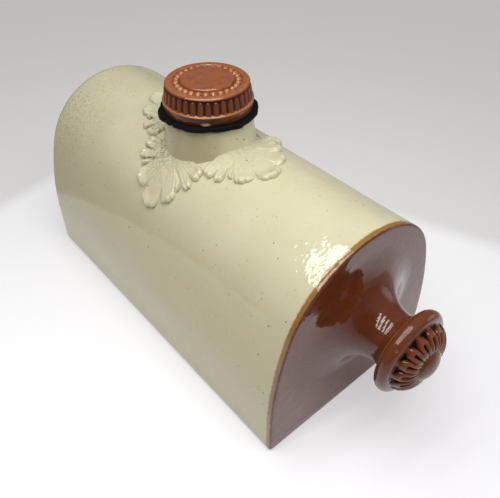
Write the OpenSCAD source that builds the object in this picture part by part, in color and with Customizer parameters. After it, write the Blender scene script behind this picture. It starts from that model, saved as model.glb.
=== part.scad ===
// Stoneware hot water bottle: a D-section barrel that lies on its flat base, with a filling neck on the
// crown, leaves laid round the neck, a screw stopper on a rubber ring, and a knob handle on one end.
// Millimetres, +Z up, +X towards the knob, origin in the base plane under the middle of the barrel.

/* [Barrel] */
// Width across the flat base
barrel_w = 144; // [130:1:160]
// Height from the base to the crown
barrel_h = 142; // [130:1:155]
// Length over both ends, without the knob
barrel_l = 285; // [240:1:340]
// Height of the upright lower part of each side
side_h = 30; // [20:1:40]
// Radius of each flank, between the upright side and the crown
flank_r = 214; // [190:1:260]
// Thickness of the clay wall
wall = 9; // [7:0.5:12]
// Rounding of the two long base edges
base_edge_r = 3; // [1:0.5:5]

/* [Ends] */
// Rolled edge of the rear end
rear_edge_r = 10; // [6:0.5:14]
// Straight rim of the rear end beside its rolled edge
rear_rim = 2; // [1:0.5:6]
// Lip of the front end that shows as a band round the barrel
front_lip = 3.5; // [3:0.5:8]
// Rounding of the front arris
front_edge_r = 1.4; // [0.5:0.1:2.5]
// Depth to which each end is let into the barrel
end_spigot = 5; // [2:0.5:10]
// Joint of slip between clay pieces
lute = 0.2; // [0.1:0.05:0.5]

/* [Handle] */
// Height of the handle's axis above the base
handle_z = 79.6; // [74:0.1:86]
// Radius of the stem at its waist
waist_r = 17.3; // [14:0.1:19]
// Distance of the waist from the front end
waist_x = 25; // [22:0.5:28]
// Radius of the curve from the waist towards the end plate
flare_r = 22; // [16:0.5:24]
// Turn of that curve before it opens out into the plate
flare_turn = 58; // [50:1:62]
// Radius of the cove from the waist up to the knob
cove_r = 8; // [7:0.5:10]
// Length of the stem from the waist to the knob
cove_l = 6.6; // [5:0.1:7]

/* [Knob] */
// Outer radius of the collar
collar_r = 27.8; // [26:0.1:31]
// Radius of the collar's rounded edge
collar_edge_r = 4.8; // [4:0.1:5.5]
// Radius of the rosette at the knob's face
rosette_r = 22.6; // [20:0.1:23]
// Height of the rosette's ground at its middle
rosette_h = 8.2; // [7:0.1:9]
// Number of loop petals
petals = 16; // [10:1:20]
// Half the width of a petal's rope
rope_w = 1.45; // [1:0.05:1.6]
// Height of a petal's rope over the ground
rope_h = 2.6; // [1.5:0.1:3]
// Half the distance between the two ropes of a petal at its outer end
loop_w = 2.2; // [1.6:0.1:2.6]
// Radius of the centre button
button_r = 9.7; // [8:0.1:11]
// Height of the button's edge over the knob's face
button_z = 9.8; // [9.5:0.1:12]
// Rise of the button's crown over its edge
button_h = 3.2; // [2:0.1:5]

/* [Neck] */
// Distance of the neck from the middle of the barrel
neck_x = -1.5; // [-20:0.5:20]
// Height of the neck's rim above the crown
neck_h = 16.7; // [14:0.1:24]
// Radius of the neck at its rim
neck_r = 28.8; // [27:0.1:31]
// Radius that the neck gains from its rim down to the crown
neck_spread = 1.9; // [0.5:0.1:3]
// Radius of the bore
bore_r = 20; // [18:0.1:22]
// Radius of the part of the neck that goes through the wall
neck_spigot_r = 25; // [24:0.1:26.5]

/* [Leaves] */
// Reach of a leaf's tip from the neck's axis, along the barrel's skin
leaf_reach = 69.5; // [62:0.5:73]
// Thickness of a leaf at the neck
leaf_foot_t = 1.6; // [1:0.1:3]
// Thickness of a leaf towards its lobes
leaf_t = 3.6; // [2:0.1:5]
// Thickness left at the rim of a lobe
leaf_edge_t = 0.5; // [0.3:0.1:1]
// Width of the rounded edge of a lobe
lobe_edge = 3.2; // [2:0.1:5]
// Part of the thickness that is left in the grooves between lobes
groove_share = 0.4; // [0.3:0.05:0.8]

/* [Seal] */
// Outer radius of the rubber ring
seal_r = 32.8; // [30:0.1:35]
// Thickness of the rubber ring
seal_t = 3.2; // [2:0.1:5]
// Room between the ring and the plug
seal_play = 0.4; // [0.2:0.1:1]

/* [Stopper] */
// Radius of the head at its underside
head_r = 28.6; // [27:0.1:29.5]
// Radius of the ledge under the ribs
ledge_r = 30.3; // [29.8:0.1:31.5]
// Height of the ledge over the underside
ledge_z = 7.2; // [5:0.1:8]
// Height of the flat top over the underside
head_h = 17.3; // [16:0.1:20]
// Rounding of the shoulder
shoulder_r = 1.2; // [1:0.1:3.5]
// Radius of the head at its shoulder
shoulder_side_r = 28; // [27.4:0.1:28.6]
// Number of ribs
ribs = 36; // [24:1:40]
// Half the width of a rib
rib_r = 1.75; // [1.3:0.05:2]
// How far a rib stands out of the band
rib_proud = 1.1; // [0.6:0.1:1.3]
// Number of beads on the top
beads = 27; // [18:1:30]
// Radius of a bead
bead_r = 1.7; // [1:0.05:1.9]
// Radius of the ring of beads
bead_ring_r = 20; // [19.5:0.1:21]
// Half the width of the channel that the beads lie in
channel_w = 2.4; // [1.9:0.1:2.6]
// Depth of that channel
channel_d = 0.7; // [0.4:0.1:1.2]
// Rise of the centre disc over the flat top
disc_rise = 1.4; // [0.6:0.1:2]
// Length of the plug under the head
plug_l = 22; // [18:0.5:23]
// Room between the plug and the bore
plug_play = 0.8; // [0.5:0.1:1.5]
// Chamfer at the plug's end
plug_chamfer = 2; // [1:0.1:4]

/* [Hidden] */
$fn = 96;

cream = "#d8d0ac";
red_brown = "#6e2c1a";
tan_brown = "#a45a38";
black = "#1c1e24";

half_w = barrel_w / 2;
half_l = barrel_l / 2;
// The crown is the arc that meets both flanks without a corner.
flank_rise = barrel_h - side_h;
crown_r = (2 * half_w * flank_r - half_w * half_w - flank_rise * flank_rise) / (2 * (flank_r - flank_rise));
crown_z = barrel_h - crown_r;
flank_y = flank_r - half_w;
crown_turn = acos((crown_z - side_h) / (flank_r - crown_r));
crown_arc = crown_r * crown_turn * PI / 180;
// Longer than any piece
far = 2 * (barrel_l + barrel_h);

rear_lip = rear_edge_r + rear_rim;
stem_l = waist_x + cove_l;
knob_face_z = 2 * collar_edge_r;
neck_z = barrel_h + neck_h;
neck_slope = neck_spread / neck_h;
plug_r = bore_r - plug_play;
// Depth to which a piece that grows out of another one is sunk into it
root = 0.6;

// Steps along half of the section's outline and round a rolled edge
skin_steps = 24;
edge_steps = 6;
// Columns in a petal, and rings from the button to the rosette's edge
petal_cols = 10;
rosette_rows = 9;
// A petal's ropes stay within this part of its sector.
leg_share = 0.56;
// Part of a rope's height that is left at the button
hub_rope = 0.45;
// Power of the curve by which the rosette's ground falls to its edge
dome_power = 3;
loop_end_r = rosette_r - loop_w - rope_w;

// A leaf's lobes spread from a point that lies this far inside the neck's foot.
fan_inset = 2.7;
fan_r = neck_at(barrel_h) - fan_inset;
// Angles of the notches between a leaf's lobes, and how far each notch and each lobe falls short of the tip
notch_angle = [-93, -69, -51.5, -42, -14.5, 14.5, 42, 51.5, 69, 93];
notch_short = [18, 15.5, 16, 12, 8, 8, 12, 16, 15.5, 18];
lobe_short = [11, 9.5, 12.5, 6, 0, 6, 12.5, 9.5, 11];
// Columns across a lobe, and rows from a leaf's foot to its edge
lobe_cols = 6;
leaf_rows = 7;
// The rows of a leaf crowd towards its edge by this power.
row_power = 1.6;
// Least length of a leaf between its foot and its edge
leaf_least = 2;
// Steps in which the place of a leaf's foot is found
foot_steps = 14;
// Height of a bead's centre over the bottom of its channel, in radii
bead_stand = 0.15;

// Outer radius of the neck at a height
function neck_at(z) = neck_r + neck_slope * (neck_z - z);

// Point of the barrel's skin at x, an arc length s from the crown line, and a height h over the skin
function on_skin(x, s, h) =
    let(
        past = abs(s) - crown_arc,
        turn = past < 0 ? abs(s) / crown_r : crown_turn * PI / 180 + past / flank_r,
        r = h + (past < 0 ? crown_r : flank_r),
        y = r * sin(turn * 180 / PI) - (past < 0 ? 0 : flank_y),
        z = r * cos(turn * 180 / PI) + (past < 0 ? crown_z : side_h)
    )
    [x, s < 0 ? -y : y, z];

// Two triangles of a four-sided face
function split(a, b, c, d) = [[a, b, c], [a, c, d]];

// Wedge over the crown's centre, between the lines where the crown meets the flanks
module crown_wedge(t) {
    across = far * sin(crown_turn);
    up = crown_z + far * cos(crown_turn);
    rotate([90, 0, 90])
        linear_extrude(t)
            polygon([[0, crown_z], [across, up], [across, 2 * far], [-across, 2 * far], [-across, up]]);
}

// Section of the upright lower part, with its two base edges rounded
module side_section(half, floor_z) {
    translate([-half, floor_z + base_edge_r])
        square([2 * half, side_h - floor_z - base_edge_r]);
    translate([base_edge_r - half, floor_z])
        square([2 * (half - base_edge_r), side_h - floor_z]);
    for (side = [-1, 1])
        translate([side * (half - base_edge_r), floor_z + base_edge_r])
            circle(base_edge_r);
}

// Disc whose rim is a flank
module flank_disc(t, inset) {
    rotate([0, 90, 0])
        cylinder(r = flank_r - inset, h = t);
}

// Solid of the barrel's section, from x = 0 to x = t, drawn in by inset
module arch(t, inset) {
    intersection() {
        crown_wedge(t);
        translate([0, 0, crown_z])
            rotate([0, 90, 0])
                cylinder(r = crown_r - inset, h = t);
    }
    difference() {
        intersection() {
            translate([0, -half_w, side_h])
                cube([t, barrel_w, flank_rise]);
            translate([0, flank_y, side_h])
                flank_disc(t, inset);
            translate([0, -flank_y, side_h])
                flank_disc(t, inset);
        }
        crown_wedge(t);
    }
    rotate([90, 0, 90])
        linear_extrude(t)
            side_section(half_w - inset, inset);
}

// Outline of the barrel's section, drawn in by inset, with its base lifted
function section_ring(inset, lift) =
    let(
        skin_arc = crown_arc + flank_r * (90 - crown_turn) * PI / 180,
        corner_y = half_w - inset - base_edge_r,
        corner_z = lift + base_edge_r
    )
    concat(
        [for (k = [-skin_steps : skin_steps])
            let(p = on_skin(0, skin_arc * k / skin_steps, -inset)) [p[1], p[2]]],
        [for (side = [1, -1], k = [0 : edge_steps])
            let(turn = 90 * (side > 0 ? k : edge_steps - k) / edge_steps)
                [side * (corner_y + base_edge_r * cos(turn)), corner_z - base_edge_r * sin(turn)]]
    );

// Plate of the barrel's section, from x = 0 to x = t, with its far edge rounded
module rounded_end(t, edge) {
    hull() {
        rotate([90, 0, 90])
            linear_extrude(t - edge)
                polygon(section_ring(0, 0));
        for (k = [1 : edge_steps])
            let(turn = 90 * k / edge_steps, inset = edge * (1 - cos(turn)))
                rotate([90, 0, 90])
                    linear_extrude(t - edge * (1 - sin(turn)))
                        polygon(section_ring(inset, inset * min(1, base_edge_r / edge)));
    }
}

module barrel() {
    tube_l = barrel_l - rear_lip - front_lip;
    color(cream)
        translate([rear_lip - half_l, 0, 0])
            difference() {
                arch(tube_l, 0);
                translate([-root, 0, 0])
                    arch(tube_l + 2 * root, wall);
                translate([neck_x + half_l - rear_lip, 0, crown_z])
                    cylinder(r = neck_spigot_r + lute, h = barrel_h);
            }
}

module rear_end() {
    color(cream)
        translate([rear_lip - half_l, 0, 0])
            difference() {
                union() {
                    rotate([0, 0, 180])
                        rounded_end(rear_lip, rear_edge_r);
                    translate([-root, 0, 0])
                        arch(end_spigot + root, wall + lute);
                }
                translate([wall - rear_lip, 0, 0])
                    arch(barrel_l, 2 * wall);
            }
}

// Half profile of the stem: a wide curve out of the plate, the waist, and a cove up to the knob
module stem_profile() {
    flare_x = waist_x - flare_r * sin(flare_turn);
    flare_end_r = waist_r + flare_r * (1 - cos(flare_turn));
    open_r = (flare_x + root) / (1 - sin(flare_turn));
    foot_r = flare_end_r + open_r * cos(flare_turn);
    cove_end_r = waist_r + cove_r - sqrt(cove_r * cove_r - cove_l * cove_l);
    difference() {
        translate([0, -front_lip / 2])
            square([foot_r, flare_x + front_lip / 2]);
        translate([foot_r, open_r - root])
            circle(open_r);
    }
    difference() {
        translate([0, flare_x])
            square([flare_end_r, waist_x - flare_x]);
        translate([waist_r + flare_r, waist_x])
            circle(flare_r);
    }
    difference() {
        translate([0, waist_x])
            square([cove_end_r, cove_l]);
        translate([waist_r + cove_r, waist_x])
            circle(cove_r);
    }
}

module front_end() {
    color(red_brown)
        translate([half_l - front_lip, 0, 0]) {
            rounded_end(front_lip, front_edge_r);
            translate([-end_spigot, 0, 0])
                arch(end_spigot + root, wall + lute);
            translate([front_lip, 0, handle_z])
                rotate([0, 90, 0])
                    rotate_extrude()
                        stem_profile();
        }
}

// Height of the rosette over the knob's face, at radius r and an angle a from the middle of a petal
function rosette_z(r, a) =
    let(
        ground = rosette_h * (1 - pow(r / rosette_r, dome_power)),
        across = r * a * PI / 180,
        leg = min(loop_w, leg_share * r * PI / petals),
        off = r < loop_end_r ? abs(abs(across) - leg) : abs(norm([across, r - loop_end_r]) - leg),
        outward = min(1, (r - button_r) / (loop_end_r - button_r)),
        rope = rope_h * (hub_rope + (1 - hub_rope) * outward)
    )
    ground + (off < rope_w ? rope * sqrt(1 - pow(off / rope_w, 2)) : 0);

// Relief of loop petals round the button, as heights on a polar grid
module rosette() {
    count = petals * petal_cols;
    hub_r = button_r - rope_w;
    points = [
        for (j = [0 : rosette_rows + 1], i = [0 : count - 1])
            let(
                r = hub_r + (rosette_r - hub_r) * min(j / rosette_rows, 1),
                a = (i % petal_cols) * 360 / count - 180 / petals,
                turn = i * 360 / count,
                z = j == 0 ? rosette_z(hub_r, 0) : j < rosette_rows ? rosette_z(r, a) : 0
            )
            [r * cos(turn), r * sin(turn), j > rosette_rows ? -root : z]
    ];
    sides = [
        for (j = [0 : rosette_rows], i = [0 : count - 1])
            let(
                here = j * count + i,
                next = j * count + (i + 1) % count
            )
            each split(here, next, next + count, here + count)
    ];
    top = [for (i = [count - 1 : -1 : 0]) i];
    bottom = [for (i = [0 : count - 1]) (rosette_rows + 1) * count + i];
    polyhedron(points, concat(sides, [top], [bottom]));
}

module knob() {
    ring_r = collar_r - collar_edge_r;
    ball_r = (button_r * button_r + button_h * button_h) / (2 * button_h);
    color(red_brown)
        translate([half_l + stem_l, 0, handle_z])
            rotate([0, 90, 0]) {
                rotate_extrude() {
                    square([ring_r, knob_face_z]);
                    translate([ring_r, collar_edge_r])
                        circle(collar_edge_r);
                }
                translate([0, 0, knob_face_z]) {
                    rosette();
                    intersection() {
                        translate([0, 0, button_z + button_h - ball_r])
                            sphere(ball_r);
                        translate([0, 0, -root])
                            cylinder(r = button_r, h = 2 * ball_r);
                    }
                }
            }
}

// Cylinder whose top is the crown, drawn in by inset, as long as the barrel is wide
module crown_roll(inset) {
    translate([-half_w, 0, crown_z])
        rotate([0, 90, 0])
            cylinder(r = crown_r - inset, h = barrel_w);
}

module neck() {
    color(cream)
        translate([neck_x, 0, 0])
            difference() {
                union() {
                    difference() {
                        translate([0, 0, crown_z])
                            cylinder(r1 = neck_at(crown_z), r2 = neck_r, h = neck_z - crown_z);
                        crown_roll(0);
                    }
                    translate([0, 0, crown_z])
                        cylinder(r = neck_spigot_r, h = neck_z - crown_z);
                }
                crown_roll(wall);
                cylinder(r = bore_r, h = 2 * barrel_h);
            }
}

// Place on the unrolled skin, at an angle and a distance from the point that a leaf's lobes spread from
function leaf_place(heading, angle, d) =
    let(
        u = fan_r + d * cos(angle),
        v = d * sin(angle)
    )
    [u * cos(heading) - v * sin(heading), u * sin(heading) + v * cos(heading)];

// Distance from that point, at an angle, that clears the neck's foot
function foot_reach(heading, angle, d, steps) =
    let(
        place = leaf_place(heading, angle, d),
        p = on_skin(place[0], place[1], 0),
        short = neck_at(p[2]) + lute - norm([p[0], p[1]])
    )
    steps == 0 ? d : foot_reach(heading, angle, d + short, steps - 1);

// A leaf's column: its angle, its foot, its edge, and how far it swells between two notches
function leaf_column(k, heading) =
    let(
        lobe = min(floor(k / lobe_cols), len(lobe_short) - 1),
        turn = 180 * (k - lobe * lobe_cols) / lobe_cols,
        share = (1 - cos(turn)) / 2,
        angle = notch_angle[lobe] * (1 - share) + notch_angle[lobe + 1] * share,
        tip = leaf_reach - fan_r,
        notch = tip - notch_short[lobe] * (1 - share) - notch_short[lobe + 1] * share,
        edge = notch + (tip - lobe_short[lobe] - notch) * sin(turn),
        foot = foot_reach(heading, angle, fan_inset, foot_steps)
    )
    [angle, foot, max(edge, foot + leaf_least), sin(turn)];

// Thickness of a leaf at a share of the way from its foot to its edge
function leaf_thickness(column, share) =
    let(
        full = leaf_foot_t + (leaf_t - leaf_foot_t) * share,
        swell = full * (groove_share + (1 - groove_share) * column[3]),
        inside = min((1 - share) * (column[2] - column[1]) / lobe_edge, 1)
    )
    leaf_edge_t + (swell - leaf_edge_t) * sqrt(1 - pow(1 - inside, 2));

// An acanthus leaf bedded on the barrel's skin, pointing away from the neck
module leaf(heading) {
    last = len(lobe_short) * lobe_cols;
    columns = [for (k = [0 : last]) leaf_column(k, heading)];
    points = [
        for (c = columns, j = [0 : leaf_rows], layer = [0, 1])
            let(
                share = 1 - pow(1 - j / leaf_rows, row_power),
                place = leaf_place(heading, c[0], c[1] + (c[2] - c[1]) * share)
            )
            on_skin(place[0], place[1], lute + layer * leaf_thickness(c, share))
    ];
    across = 2 * (leaf_rows + 1);
    face = [for (k = [0 : last - 1], j = [0 : leaf_rows - 1]) k * across + 2 * j];
    foot = [for (k = [0 : last - 1]) k * across];
    side = [for (j = [0 : leaf_rows - 1]) 2 * j];
    rim_at = 2 * leaf_rows;
    end_at = last * across;
    faces = [
        for (p = face)
            each concat(
                split(p + 1, p + across + 1, p + across + 3, p + 3),
                split(p, p + 2, p + across + 2, p + across)
            ),
        for (p = foot)
            each concat(
                split(p, p + across, p + across + 1, p + 1),
                split(p + rim_at + 1, p + rim_at + across + 1, p + rim_at + across, p + rim_at)
            ),
        for (p = side)
            each concat(
                split(p + 1, p + 3, p + 2, p),
                split(p + end_at + 3, p + end_at + 1, p + end_at, p + end_at + 2)
            )
    ];
    color(cream)
        translate([neck_x, 0, 0])
            polyhedron(points, faces);
}

module leaf_front() {
    leaf(0);
}

module leaf_left() {
    leaf(90);
}

module leaf_rear() {
    leaf(180);
}

module leaf_right() {
    leaf(270);
}

module seal_ring() {
    inner_r = plug_r + seal_play;
    color(black)
        translate([neck_x, 0, neck_z])
            rotate_extrude() {
                translate([inner_r, 0])
                    square([seal_r - seal_t / 2 - inner_r, seal_t]);
                translate([seal_r - seal_t / 2, seal_t / 2])
                    circle(seal_t / 2);
            }
}

// Half profile of the stopper, from the plug's end up to the centre disc
module stopper_profile() {
    disc_r = bead_ring_r - channel_w;
    band_r = ledge_r - rib_proud - root;
    neck_in_r = shoulder_side_r - rib_proud;
    shoulder_z = head_h - shoulder_r;
    difference() {
        union() {
            polygon([
                [0, 0], [head_r, 0], [ledge_r, ledge_z - root], [ledge_r, ledge_z], [band_r, ledge_z + root],
                [neck_in_r, shoulder_z - rib_proud], [shoulder_side_r, shoulder_z], [0, shoulder_z]
            ]);
            translate([0, shoulder_z - root])
                square([shoulder_side_r - shoulder_r, shoulder_r + root]);
            translate([shoulder_side_r - shoulder_r, shoulder_z])
                circle(shoulder_r);
        }
        translate([disc_r, head_h - channel_d])
            square([2 * channel_w, shoulder_r]);
    }
    square([disc_r - disc_rise, head_h + disc_rise]);
    translate([disc_r - disc_rise, head_h])
        circle(disc_rise);
    polygon([
        [0, -plug_l], [plug_r - plug_chamfer, -plug_l], [plug_r, plug_chamfer - plug_l], [plug_r, root], [0, root]
    ]);
}

// Rounded rib that leans in with the band it stands on
module rib(from_r, to_r, h) {
    rotate([0, atan((to_r - from_r) / h), 0])
        cylinder(r = rib_r, h = norm([to_r - from_r, h]));
    translate([to_r - from_r, 0, h])
        sphere(rib_r);
}

module stopper() {
    rib_from_r = ledge_r - root - rib_r;
    rib_to_r = shoulder_side_r - rib_r;
    rib_h = head_h - shoulder_r - rib_proud - ledge_z - rib_r / 2;
    color(tan_brown)
        translate([neck_x, 0, neck_z + seal_t]) {
            rotate_extrude()
                stopper_profile();
            for (i = [0 : ribs - 1])
                rotate([0, 0, i * 360 / ribs])
                    translate([rib_from_r, 0, ledge_z])
                        rib(rib_from_r, rib_to_r, rib_h);
            for (i = [0 : beads - 1])
                rotate([0, 0, i * 360 / beads])
                    translate([bead_ring_r, 0, head_h - channel_d + bead_stand * bead_r])
                        sphere(bead_r);
        }
}

barrel();
rear_end();
front_end();
knob();
neck();
leaf_front();
leaf_rear();
leaf_left();
leaf_right();
seal_ring();
stopper();
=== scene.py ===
from math import acos, atan2, cos, exp, hypot, pi, radians, sin, sqrt

import bmesh
import bpy
from mathutils import Matrix, Vector


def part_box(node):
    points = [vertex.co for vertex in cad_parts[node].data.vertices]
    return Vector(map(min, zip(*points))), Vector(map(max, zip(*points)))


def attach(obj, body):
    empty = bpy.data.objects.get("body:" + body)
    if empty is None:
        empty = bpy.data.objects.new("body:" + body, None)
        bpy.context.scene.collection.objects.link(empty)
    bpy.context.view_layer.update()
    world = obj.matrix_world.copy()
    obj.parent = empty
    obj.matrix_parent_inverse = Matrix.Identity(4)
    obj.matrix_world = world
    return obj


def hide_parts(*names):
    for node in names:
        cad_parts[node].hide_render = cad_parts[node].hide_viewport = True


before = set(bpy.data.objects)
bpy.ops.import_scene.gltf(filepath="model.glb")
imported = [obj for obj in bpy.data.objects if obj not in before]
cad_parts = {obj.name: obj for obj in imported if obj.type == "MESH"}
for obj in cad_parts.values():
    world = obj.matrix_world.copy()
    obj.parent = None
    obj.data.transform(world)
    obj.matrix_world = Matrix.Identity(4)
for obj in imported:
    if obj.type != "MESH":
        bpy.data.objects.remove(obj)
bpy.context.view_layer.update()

# Barrel
# The water vessel: a slab-built stoneware tube of D section that lies on its flat base, with a hole in the
# crown for the neck. It was dipped in a buff glaze and fired glossy, and iron in the clay shows as specks.
MM = 0.001
SIDE_H = 30 * MM
FLANK_R = 214 * MM
BASE_EDGE_R = 3 * MM
WALL = 9 * MM
SKIN_STEPS = 52
SIDE_STEPS = 5
CORNER_STEPS = 5
BASE_STEPS = 16
BARREL_STEP = 4 * MM
NECK_HOLE_R = 25.2 * MM
HOLE_COLS = 96
HAND_WAVE_H = 0.11 * MM
BROAD_WAVE_X = 31 * MM
BROAD_WAVE_S = 27 * MM
SHORT_WAVE_X = 13 * MM
SHORT_WAVE_S = 19 * MM
# Places nearer than this count as one.
TOUCH = 0.01 * MM

barrel_lo, barrel_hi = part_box("barrel")
half_w = barrel_hi.y
flank_rise = barrel_hi.z - SIDE_H
crown_r = (2 * half_w * FLANK_R - half_w**2 - flank_rise**2) / (2 * (FLANK_R - flank_rise))
crown_z = barrel_hi.z - crown_r
flank_y = FLANK_R - half_w
crown_turn = acos((crown_z - SIDE_H) / (FLANK_R - crown_r))
crown_arc = crown_r * crown_turn
skin_arc = crown_arc + FLANK_R * (pi / 2 - crown_turn)


def on_skin(x, s, h=0.0):
    """Point of the barrel's skin at x, an arc length s from the crown line and a height h over the skin."""
    past = abs(s) - crown_arc
    turn = abs(s) / crown_r if past < 0 else crown_turn + past / FLANK_R
    r = h + (crown_r if past < 0 else FLANK_R)
    y = r * sin(turn) - (0 if past < 0 else flank_y)
    z = r * cos(turn) + (crown_z if past < 0 else SIDE_H)
    return Vector((x, y if s > 0 else -y, z))


def hand_wave(x, s):
    """How far the skin falls short of its true form, as a hand-smoothed slab does."""
    broad = sin(x / BROAD_WAVE_X + 1.3) * sin(s / BROAD_WAVE_S)
    short = 0.6 * sin(x / SHORT_WAVE_X + s / SHORT_WAVE_S + 0.4)
    return HAND_WAVE_H * (1.6 - (broad + short))


def section(x, inset=0.0, lift=0.0):
    """Outline of the barrel at x, drawn in by inset, with its base lifted."""
    corner_y = half_w - inset - BASE_EDGE_R
    corner_z = lift + BASE_EDGE_R
    points = []
    for k in range(-SKIN_STEPS, SKIN_STEPS + 1):
        s = skin_arc * k / SKIN_STEPS
        points.append(on_skin(x, s, -inset - hand_wave(x, s)))
    edge_y = points[-1].y
    for k in range(1, SIDE_STEPS):
        points.append(Vector((x, edge_y, SIDE_H + (corner_z - SIDE_H) * k / SIDE_STEPS)))
    for k in range(CORNER_STEPS + 1):
        turn = pi / 2 * k / CORNER_STEPS
        points.append(Vector((x, corner_y + BASE_EDGE_R * cos(turn), corner_z - BASE_EDGE_R * sin(turn))))
    for k in range(1, BASE_STEPS):
        points.append(Vector((x, corner_y * (1 - 2 * k / BASE_STEPS), lift)))
    for k in range(CORNER_STEPS, -1, -1):
        turn = pi / 2 * k / CORNER_STEPS
        points.append(Vector((x, -corner_y - BASE_EDGE_R * cos(turn), corner_z - BASE_EDGE_R * sin(turn))))
    for k in range(SIDE_STEPS - 1, 0, -1):
        points.append(Vector((x, points[0].y, SIDE_H + (corner_z - SIDE_H) * k / SIDE_STEPS)))
    return points


def start_loop(name, points):
    """Adds a circle whose points are set on an outline, and leaves it in edit mode."""
    bpy.ops.object.select_all(action="DESELECT")
    bpy.ops.mesh.primitive_circle_add(vertices=len(points))
    piece = bpy.context.object
    piece.name = piece.data.name = name
    for corner, point in zip(piece.data.vertices, points):
        corner.co = point
    bpy.ops.object.mode_set(mode="EDIT")
    return piece


def extrude_loop(piece, points):
    """Draws the selected loop out to the next outline."""
    bpy.ops.mesh.extrude_region_move()
    edited = bmesh.from_edit_mesh(piece.data)
    for corner, point in zip([v for v in edited.verts if v.select], points):
        corner.co = point
    bmesh.update_edit_mesh(piece.data)


def close_mesh(piece, inside):
    """Merges what meets, turns the faces away from a place inside the piece, and leaves edit mode."""
    bpy.ops.mesh.select_all(action="SELECT")
    bpy.ops.mesh.remove_doubles(threshold=TOUCH)
    bpy.ops.mesh.normals_make_consistent(inside=False)
    bpy.ops.object.mode_set(mode="OBJECT")
    if sum(face.area * face.normal.dot(face.center - inside) for face in piece.data.polygons) < 0:
        piece.data.flip_normals()


def apply_modifier(piece, kind, **settings):
    """Adds a modifier with its settings and applies it."""
    modifier = piece.modifiers.new(kind.title(), kind)
    for key, value in settings.items():
        setattr(modifier, key, value)
    bpy.context.view_layer.objects.active = piece
    bpy.ops.object.modifier_apply(modifier=modifier.name)


def glaze_piece(piece, material, body, node, smooth):
    """Gives a finished piece its surface and its body, and hides the node that it stands for."""
    bpy.ops.object.select_all(action="DESELECT")
    piece.select_set(True)
    bpy.context.view_layer.objects.active = piece
    bpy.ops.object.shade_smooth_by_angle(angle=radians(smooth))
    piece.data.materials.clear()
    piece.data.materials.append(material)
    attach(piece, body)
    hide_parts(node)


def linear(hex_colour):
    """Linear colour of an sRGB hex value."""
    levels = [int(hex_colour[k:k + 2], 16) / 255 for k in (1, 3, 5)]
    return [c / 12.92 if c < 0.04045 else ((c + 0.055) / 1.055)**2.4 for c in levels] + [1.0]


def add_node(tree, kind, inputs, **settings):
    """Adds a node with its settings. An input takes a value, a socket or another node's first output."""
    added = tree.nodes.new(kind)
    for key, value in settings.items():
        setattr(added, key, value)
    for key, value in inputs.items():
        if isinstance(value, bpy.types.Node):
            value = next(socket for socket in value.outputs if socket.enabled)
        if isinstance(value, bpy.types.NodeSocket):
            tree.links.new(value, added.inputs[key])
        else:
            added.inputs[key].default_value = value
    return added


def new_material(name):
    """A new material, with its node tree and its shader."""
    material = bpy.data.materials.new(name)
    material.use_nodes = True
    tree = material.node_tree
    return material, tree, tree.nodes["Principled BSDF"]


# Buff stoneware glaze: a milky feldspar glaze, glossy, a little uneven where it ran, painted darker and
# yellower low on the sides as painted shade, with specks of iron. The neck has painted shade on its side
# towards the camera; the leaves have dirt in their flutes and painted shade in their creases and eyes.
CREAM = "#dad5b5"
CREAM_THIN = "#cac39f"
CREAM_LOW_SHADE = "#d0c698"
LOW_FROM = 118 * MM
LOW_TO = 78 * MM
IRON_SPECK = "#4a3c28"
IRON_HALO = "#b3a57c"
FINE_SPECK = "#8a7b58"
SOOT = "#6f6b5c"
SOOT_AT = (-128 * MM, -42 * MM, 122 * MM)
EDGE_TAN = "#9a733f"
DIRT_AND_CREASE_SHADE = "#332e21"
NECK_SHADE = "#a4966c"
EDGE_TAN_FROM = barrel_hi.x + 0.4 * MM
EDGE_TAN_TO = barrel_hi.x + 1.8 * MM
CLOUD_W = 28 * MM
SPECK_GAP = 5 * MM
HALO_GAP = 4.1 * MM
FINE_GAP = 2.7 * MM
SOOT_CORE = 5 * MM
SOOT_REACH = 60 * MM
SOOT_W = 1.8 * MM
CRUMB_W = 2.6 * MM
TEAR_W = 2.5 * MM
TEAR_L = 2.6 * MM
PEEL_W = 4 * MM
PEEL_H = 0.25 * MM
cream_glaze, tree, shader = new_material("buff_stoneware_glaze")
place = add_node(tree, "ShaderNodeTexCoord", {}).outputs["Object"]
cloud = add_node(tree, "ShaderNodeTexNoise", {"Vector": place, "Scale": 1 / CLOUD_W, "Detail": 3.0})
milk = add_node(tree, "ShaderNodeMix", {
    "Factor": cloud, "A": linear(CREAM), "B": linear(CREAM_THIN)}, data_type="RGBA")
height = add_node(tree, "ShaderNodeSeparateXYZ", {"Vector": place}).outputs["Z"]
# Painted shade: low on the sides the glaze is mixed darker and yellower.
low = add_node(tree, "ShaderNodeMapRange", {
    "Value": height, "From Min": LOW_FROM, "From Max": LOW_TO, "To Min": 0.0, "To Max": 0.8})
low_shade = add_node(tree, "ShaderNodeMix", {
    "Factor": low, "A": milk, "B": linear(CREAM_LOW_SHADE)}, data_type="RGBA")
# Painted shade on the neck's side towards the camera.
neck_shade = add_node(tree, "ShaderNodeAttribute", {}, attribute_name="neck_shade").outputs["Fac"]
tone = add_node(tree, "ShaderNodeMix", {
    "Factor": neck_shade, "A": low_shade, "B": linear(NECK_SHADE)}, data_type="RGBA")
halo_cell = add_node(tree, "ShaderNodeTexVoronoi", {"Vector": place, "Scale": 1 / HALO_GAP})
halo_size = add_node(tree, "ShaderNodeMapRange", {
    "Value": halo_cell.outputs["Color"], "From Min": 0.2, "From Max": 1.0, "To Min": 0.0, "To Max": 0.24})
halo = add_node(tree, "ShaderNodeMapRange", {
    "Value": halo_cell.outputs["Distance"], "From Min": 0.0, "From Max": halo_size,
    "To Min": 0.75, "To Max": 0.0})
spotted = add_node(tree, "ShaderNodeMix", {
    "Factor": halo, "A": tone, "B": linear(IRON_HALO)}, data_type="RGBA")
dots = []
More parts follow.
